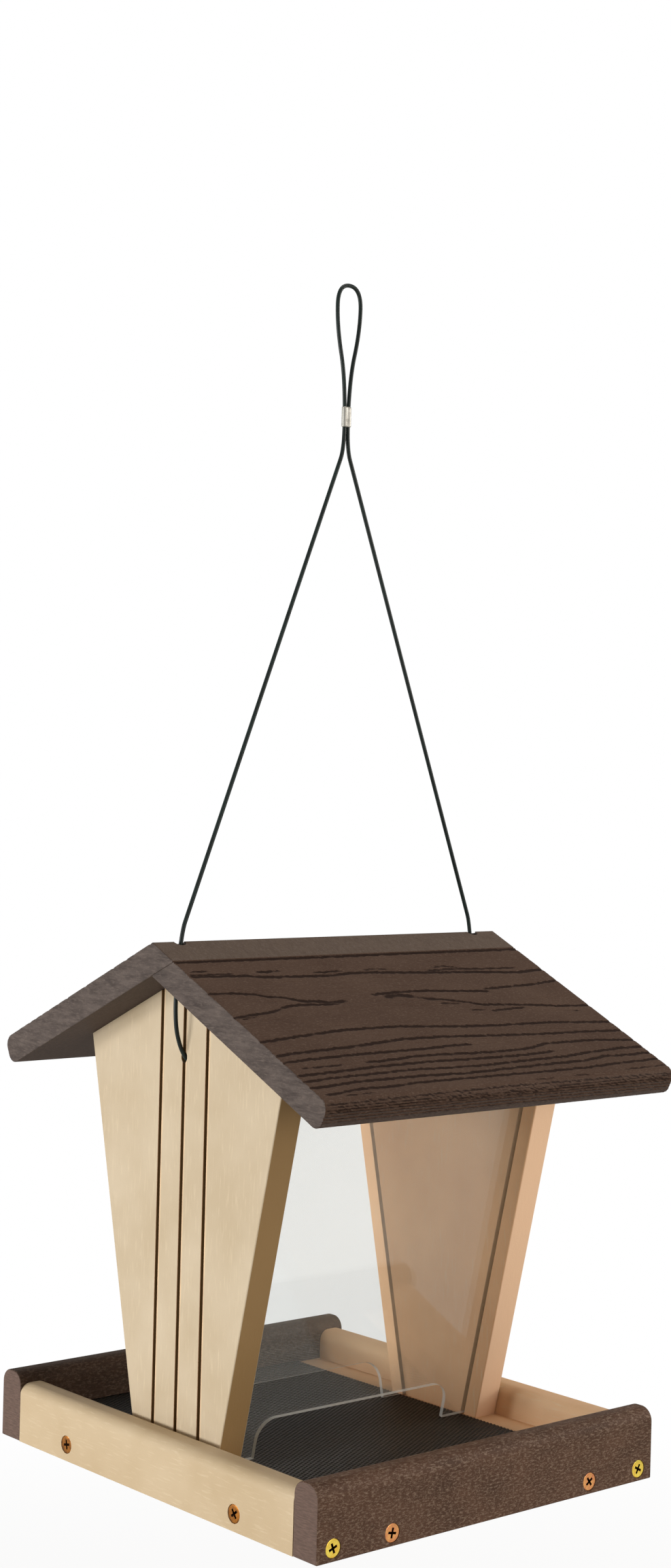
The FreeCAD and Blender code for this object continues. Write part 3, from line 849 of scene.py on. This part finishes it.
def inward_normals(section):
    """Directions into the board at each point of its section."""
    tangent = np.roll(section, -1, axis=0) - np.roll(section, 1, axis=0)
    tangent /= np.linalg.norm(tangent, axis=1)[:, None]
    inward = np.stack((-tangent[:, 1], tangent[:, 0]), axis=1)
    return inward * np.sign((inward * (section.mean(axis=0) - section)).sum())


def ring_places():
    """Places of a board's rings along X, and how far its eased ends draw each one in."""
    flat = roof_half_length - end_ease
    stations = np.linspace(-flat, flat, round(2 * flat / station_step) + 1)
    angles = np.linspace(0, pi / 2, ease_steps + 1)[1:]
    reach = end_ease * np.sin(angles)
    rounding = end_ease * (1 - np.cos(angles))
    places = np.concatenate((-flat - reach[::-1], stations, flat + reach))
    inset = np.concatenate((rounding[::-1], np.zeros(len(stations)), rounding))
    return places, inset


def hole_cutter(with_screws):
    """Cutter for the cable's holes in a board and, where asked, for the screws along the ridge."""
    rods = []
    for side in (-1, 1):
        base = Vector((side * cable_hole_x, 0.0, ridge_z - 2 * cutter_reach))
        rods.append((base, Vector((0, 0, 1)), cable_hole_radius, 3 * cutter_reach))
    if with_screws:
        for place in screw_places("ridge_screws"):
            rods.append((place, -screw_way("ridge_screws"), counterbore_radius, cutter_reach))
    return rod_cutter(rods)


def slab(board, materials):
    """Roof board swept along X from its section, with grain pressed into its top and eave."""
    corners = board["corners"]
    section = rounded_section(corners, board["roundings"])
    gaps = np.linalg.norm(np.diff(section, axis=0), axis=1)
    along = np.concatenate(([0.0], np.cumsum(gaps))) - board["roundings"][0]
    places, inset = ring_places()
    x, s = np.meshgrid(places, along, indexing="ij")
    u = (x / roof_half_length + 1) / 2
    top_end = np.linalg.norm(corners[1] - corners[0]) + roof_thickness
    pressed = np.where((s > 0) & (s < top_end), emboss(u, s, board["lines"], board["seed"]), 0.0)
    sink = inset[:, None] + grain_depth * pressed
    spots = section[None] + inward_normals(section)[None] * sink[:, :, None]
    vertices = np.concatenate((x[:, :, None], spots), axis=2).reshape(-1, 3)
    piece = new_piece(board["name"], vertices, tube_faces(len(places), len(section)), materials)
    strip_normal = board.get("strip_normal")
    cut_with(piece, [hole_cutter(strip_normal is not None)])
    mark_grain(piece, board)
    smoothed(piece)
    paint_cut_faces(piece, strip_normal)
    return piece


def mark_grain(piece, board):
    """Stores how deep the grain is at each vertex, for the material."""
    spots = np.array([vertex.co for vertex in piece.data.vertices])
    from_start = spots[:, 1:] - board["corners"][0]
    along = from_start @ board["slope"]
    height = from_start @ board["normal"]
    over = np.clip(-height - eave_turn_share * eave_rounding, 0, None)
    along = np.where(along > grain_face - eave_rounding, along + over, along)
    u = (spots[:, 0] / roof_half_length + 1) / 2
    top = (height > -grain_reach_share * roof_thickness) & (along > 0)
    depth = np.where(top, emboss(u, along, board["lines"], board["seed"]), 0.0)
    attribute = piece.data.attributes.new("groove", "FLOAT", "POINT")
    attribute.data.foreach_set("value", depth.astype(np.float32))


def paint_cut_faces(piece, strip_normal):
    """Gives the sawn material to the flat ends and to the bevel along the ridge."""
    for face in piece.data.polygons:
        face.use_smooth = abs(face.normal.x) < flat_end_facing
        end = abs(face.normal.x) > end_facing
        strip = strip_normal is not None and face.normal.dot(Vector((0, *strip_normal))) > strip_facing
        face.material_index = 1 if end or strip else 0


def front_roof(materials):
    """Front board, whose top begins at the seam."""
    apex = ridge - np.array((0.0, roof_thickness / cos(roof_pitch)))
    eave = apex + front_slope * roof_board_width
    board = {
        "name": "roof_front_board",
        "corners": [ridge + front_slope * bevel_width, eave + front_normal * roof_thickness, eave, apex],
        "roundings": [arris, eave_rounding, eave_rounding, arris],
        "slope": front_slope,
        "normal": front_normal,
        "lines": grain_lines + streaks() + pores(front_seeds["pores"]),
        "seed": front_seeds["lines"],
    }
    return slab(board, materials)


def back_roof(materials):
    """Back board, whose top begins at the ridge and whose bevel shows from the front."""
    slope = front_slope * flip_y
    normal = front_normal * flip_y
    eave = ridge + slope * roof_board_width
    turned_lines = [([(1 - u, v) for u, v in reversed(points)], *rest) for points, *rest in grain_lines]
    board = {
        "name": "roof_back_board",
        "corners": [ridge, eave, eave - normal * roof_thickness, ridge + front_slope * bevel_width],
        "roundings": [2 * arris, eave_rounding, eave_rounding, arris],
        "slope": slope,
        "normal": normal,
        "lines": turned_lines + streaks() + pores(back_seeds["pores"]),
        "seed": back_seeds["lines"],
        "strip_normal": front_normal,
    }
    return slab(board, materials)


def screen_piece(material):
    """Diamond mesh of two layers of crossing strands, cut to the screen's outline."""
    low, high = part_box("floor_screen")
    half_x = high.x - strand_width
    half_y = high.y - strand_width
    thick = high.z - low.z
    strand_faces = tube_faces(2, len(strand_outline))
    vertices = []
    faces = []
    for side in (-1, 1):
        way = Vector((cos(strand_angle), side * sin(strand_angle), 0))
        across = Vector((-way.y, way.x, 0))
        lift = strand_layers * thick * (1 + side) / 2
        reach = abs(across.x) * half_x + abs(across.y) * half_y
        count = int(reach / strand_pitch)
        for index in range(-count, count + 1):
            middle = across * (index * strand_pitch)
            start = max((-half_x - middle.x) / way.x, (-side * half_y - middle.y) / way.y)
            end = min((half_x - middle.x) / way.x, (side * half_y - middle.y) / way.y)
            if end - start < strand_pitch:
                continue
            first = len(vertices)
            for distance in (start, end):
                for out, up in strand_outline:
                    spot = middle + way * distance + across * (out * strand_width)
                    spot.z = low.z + lift + up * thick * (1 - strand_layers)
                    vertices.append(spot)
            faces.extend(tuple(first + corner for corner in face) for face in strand_faces)
    piece = new_piece("floor_mesh", vertices, faces, [material])
    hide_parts("floor_screen")
    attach(piece, "hopper")


def recess_cutter(turned):
    """Tapered cutter for one of the two arms of the cross recess."""
    levels = ((recess_taper, -recess_depth), (1.0, 0.0), (1.0, recess_depth))
    spots = []
    for share, height in levels:
        span = recess_span / 2 * share
        width = recess_width / 2 * (recess_narrowing + (1 - recess_narrowing) * share)
        for along, beside in ((-span, -width), (span, -width), (span, width), (-span, width)):
            spots.append((beside, along, height) if turned else (along, beside, height))
    return new_piece("cutter", spots, tube_faces(len(levels), len(spots) // len(levels)), [])


def screw_mesh():
    """Flat head screw that points down from the origin, with painted shade in its recess from its
    material.
    """
    profile = [
        (screw_point_radius, -screw_length),
        (screw_shank_radius, -screw_length + screw_tip),
        (screw_shank_radius, -screw_head_height),
    ]
    profile += [(screw_head_radius - rim_ease * in_by, -rim_ease * down) for in_by, down in rim_profile]
    vertices = [spot for radius, height in profile for spot in ring(radius, height, screw_sides)]
    piece = new_piece("screw", vertices, tube_faces(len(profile), screw_sides), [])
    cut_with(piece, [recess_cutter(turned) for turned in (False, True)])
    for face in piece.data.polygons:
        face.material_index = int(face.center.z < 0 and face.center.xy.length < recess_span / 2)
    return piece


def screw_way(node):
    """Direction in which the screws of one node are driven."""
    return Vector(screw_rows[node].way)


def screw_places(node):
    """Middles of the heads' tops, read from the tips of one node's solids."""
    way = screw_way(node)
    spots = [vertex.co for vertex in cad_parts[node].data.vertices]
    deepest = max(spot.dot(way) for spot in spots)
    tips = [spot for spot in spots if deepest - spot.dot(way) < same_depth]
    apart = {tuple(round(value, sort_digits) for value in tip): tip for tip in tips}
    return [apart[key] - way * screw_length for key in sorted(apart)]


def screw_group(node, model, metal):
    """All screws of one node, each turned as it was left by the driver."""
    row = screw_rows[node]
    tones = [metal[name] for name in row.metals]
    aim = (-screw_way(node)).to_track_quat("Z", "Y").to_matrix().to_4x4()
    work = bmesh.new()
    for index, (place, turn) in enumerate(zip(screw_places(node), row.turns)):
        copy = model.data.copy()
        spin = Matrix.Rotation(radians(turn), 4, "Z")
        copy.transform(Matrix.Translation(place) @ aim @ spin)
        before = len(work.faces)
        work.from_mesh(copy)
        work.faces.ensure_lookup_table()
        for face in work.faces[before:]:
            face.material_index = len(tones) if face.material_index else index % len(tones)
        bpy.data.meshes.remove(copy)
    mesh = bpy.data.meshes.new(node + "_turned")
    work.to_mesh(mesh)
    work.free()
    piece = linked(node + "_turned", mesh, (*tones, metal["screw_recess_shade"]))
    smoothed(piece, screw_smooth_angle)
    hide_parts(node)
    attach(piece, row.body)


def spline_points(name, route):
    """Points of the smooth curve that has the route's points as its control points."""
    curve = bpy.data.curves.new(name, "CURVE")
    curve.dimensions = "3D"
    spline = curve.splines.new("NURBS")
    spline.points.add(len(route) - 1)
    for point, (x, z) in zip(spline.points, route):
        point.co = (x, 0.0, z, 1.0)
    spline.order_u = spline_order
    spline.use_endpoint_u = True
    spline.resolution_u = spline_steps
    holder = bpy.data.objects.new(name, curve)
    points = [vertex.co.copy() for vertex in holder.to_mesh().vertices]
    bpy.data.objects.remove(holder)
    bpy.data.curves.remove(curve)
    kept = points[:1]
    for point in points[1:-1]:
        if (point - kept[-1]).length >= cable_step and (points[-1] - point).length >= cable_step / 2:
            kept.append(point)
    return kept + points[-1:]


def cable_piece(name, route, material, side=-1):
    """Coated wire on the left or, mirrored, the right, and the points that it follows."""
    path = spline_points(name, [(-side * x, z) for x, z in route])
    back = Vector((0, 1, 0))
    vertices = []
    for point, tangent in zip(path, np.gradient(np.array(path), axis=0)):
        other = Vector(tangent).normalized().cross(back)
        for angle in turns(cable_sides):
            out = back * cos(angle) + other * sin(angle)
            vertices.append(point + out * (cable_diameter / 2))
    piece = new_piece(name, vertices, tube_faces(len(path), cable_sides), [material])
    return smoothed(piece), path


def ferrule_piece(material):
    """Oval sleeve pressed in between both strands."""
    low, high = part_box("cable_ferrule")
    wide = (high.x - low.x) / 2
    deep = (high.y - low.y) / 2
    vertices = []
    for step in range(ferrule_steps + 1):
        height = step / ferrule_steps * (high.z - low.z)
        edge = min(height, high.z - low.z - height)
        ease = ferrule_ease - sqrt(ferrule_ease**2 - max(0.0, ferrule_ease - edge) ** 2)
        for angle in turns(ferrule_sides):
            across = abs(cos(angle)) ** ferrule_squareness
            out = abs(sin(angle)) ** ferrule_squareness
            x = copysign((wide - ease) * across, cos(angle))
            crease = ferrule_crease * exp(-((x / ferrule_crease_width) ** 2))
            y = copysign((deep - ease) * out - crease * out, sin(angle))
            vertices.append((x, y, low.z + height))
    piece = new_piece("ferrule_sleeve", vertices, tube_faces(ferrule_steps + 1, ferrule_sides), [material])
    smoothed(piece)
    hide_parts("cable_ferrule")
    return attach(piece, "hopper")


def hang_cable(material, sleeve):
    """The cable from stop to stop, in the pieces that its holes divide it into."""
    for name, side in (("left", -1), ("right", 1)):
        drop, path = cable_piece("cable_drop_" + name, drop_route, material, side)
        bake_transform(drop)
        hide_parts("cable_" + name + "_drop")
        leg, path = cable_piece("cable_leg_" + name, leg_route, material, side)
        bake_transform(leg)
        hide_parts("cable_" + name + "_leg")
    loop, path = cable_piece("cable_hanging_loop", loop_route, material)
    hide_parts("cable_loop")
    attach(loop, "hopper")


def dress_nodes(names, material):
    """Gives CAD pieces their material."""
    for name in names:
        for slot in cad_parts[name].material_slots:
            slot.material = material


def background_share(nodes):
    """One where the camera or a clear pane looks at the surroundings, and less in reflections."""
    rays = nodes.node("LightPath").outputs
    seen = nodes.math("MAXIMUM", rays["Is Camera Ray"], rays["Is Transmission Ray"])
    return nodes.math("MAXIMUM", seen, nodes.product(rays["Is Glossy Ray"], reflection_white))


def make_world():
    """White surroundings with a plain soft level of light on the object."""
    world = bpy.data.worlds.new("studio")
    scene.world = world
    world.use_nodes = True
    nodes = Nodes(world.node_tree)
    nodes.tree.nodes.clear()
    dim = nodes.node("Background", {"Color": ambient_tint, "Strength": ambient}).outputs["Background"]
    bright = nodes.node("Background", {"Color": white, "Strength": 1.0}).outputs["Background"]
    nodes.node("OutputWorld", {"Surface": nodes.blend(background_share(nodes), dim, bright)})


def make_floor():
    """Pale floor under the hanging feeder, which takes its shadow."""
    height = cad_low.z - floor_drop
    near = hypot(height, floor_near)
    far = hypot(height, floor_far)
    corners = [(x * floor_reach, y * floor_reach, height) for x, y in ((-1, -1), (1, -1), (1, 1), (-1, 1))]
    floor = Surface("floor_white", Base_Color=floor_colour, Roughness=floor_roughness)
    glow = floor.node("Emission", {"Color": white, "Strength": 1.0}).outputs["Emission"]
    distance = floor.node("VectorMath", operation="LENGTH")
    floor.feed(distance.inputs[0], floor.place())
    white_share = floor.spread(distance.outputs["Value"], near, far, floor_near_white, 1.0)
    share = floor.product(background_share(floor), white_share)
    material = floor.finish_with(floor.blend(share, floor.shader.outputs["BSDF"], glow))
    new_piece("floor", corners, [(0, 1, 2, 3)], [material])


def make_lamps():
    """Large soft lamps round the feeder and above it, aimed at its middle."""
    for name, facts in lamps.items():
        light = bpy.data.lights.new(name, "AREA")
        light.shape = "DISK"
        light.size = facts.size
        light.energy = facts.power
        light.color = facts.tint
        lamp = linked(name, light)
        lamp.location = facts.place
        way = Vector(lamp_target) - lamp.location
        lamp.rotation_euler = way.to_track_quat("-Z", "Y").to_euler()


def make_camera():
    """Camera at the photograph's place, with its slight roll."""
    data = bpy.data.cameras.new("camera")
    data.sensor_width = sensor_size
    data.lens = focal_pixels / image_height * sensor_size
    swing = Matrix.Rotation(radians(camera_azimuth), 4, "Z")
    tilt = Matrix.Rotation(pi / 2 - radians(camera_elevation), 4, "X")
    roll = Matrix.Rotation(radians(camera_roll), 4, "Z")
    camera = linked("camera", data)
    camera.matrix_world = Matrix.Translation(camera_place) @ swing @ tilt @ roll
    scene.camera = camera


make_camera()
make_world()
make_floor()
make_lamps()
scene.view_settings.view_transform = "Standard"

for rail in brown_tones:
    dress_nodes([rail], brown_material(rail))
for side in ("left", "right"):
    dress_nodes([side + "_rail", side + "_floor_board"], tan_material(side + "_rail", 1))
    dress_nodes([side + "_end_panel"], tan_material(side + "_end_panel", 2))
dress_nodes(["front_pane", "back_pane"], pane_material())
metal = {name: metal_material(name) for name in metals}
dress_nodes(["left_cable_stop", "right_cable_stop"], metal["crimp_silver"])

boards = [roof_material(), sawn_material()]
for board, node in ((front_roof(boards), "front_roof_slab"), (back_roof(boards), "back_roof_slab")):
    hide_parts(node)
    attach(board, "roof")

screen_piece(screen_material())

model = screw_mesh()
for node in screw_rows:
    screw_group(node, model, metal)
bpy.data.objects.remove(model)

hang_cable(cable_material(), ferrule_piece(metal["crimp_silver"]))
